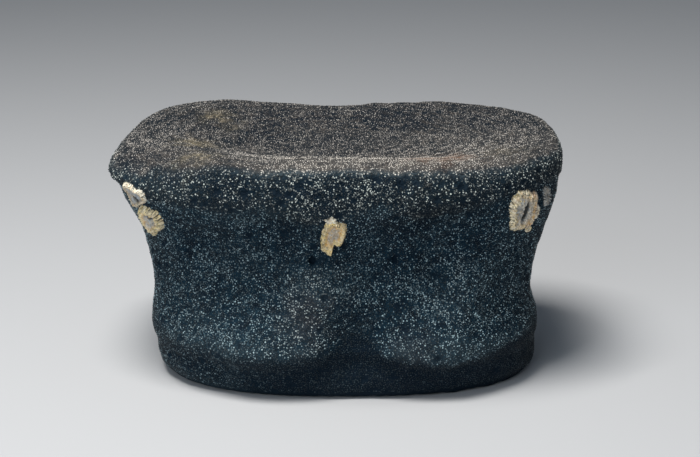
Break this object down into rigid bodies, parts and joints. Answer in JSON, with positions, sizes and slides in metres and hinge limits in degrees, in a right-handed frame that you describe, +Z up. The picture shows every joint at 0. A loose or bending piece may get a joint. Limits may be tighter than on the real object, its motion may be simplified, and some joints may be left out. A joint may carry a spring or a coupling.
{
  "type": "fossil whale vertebra",
  "caption": "Spool-shaped fossil whale vertebra of dark stone-like bone, standing on one end face, with broken barnacles on its flanks.",
  "frame": {"origin": "on the surface that the bone stands on, under the middle of the object's outline seen from above", "axes": "+Z up, from the lower end face to the upper one; +X along the bone's width; the ventral side with its two lobes faces -Y and the floor of the nerve canal faces +Y"},
  "size_m": [0.195, 0.1323, 0.1055],
  "materials": {
    "fossil_bone": "matte",
    "barnacle_shell": "matte"
  },
  "bodies": {
    "root": {"vertebra": "fossil_bone", "barnacle_left_upper": "barnacle_shell", "barnacle_left_lower": "barnacle_shell", "barnacle_front": "barnacle_shell", "barnacle_right": "barnacle_shell", "barnacle_right_worn": "barnacle_shell"}
  },
  "joints": []
}
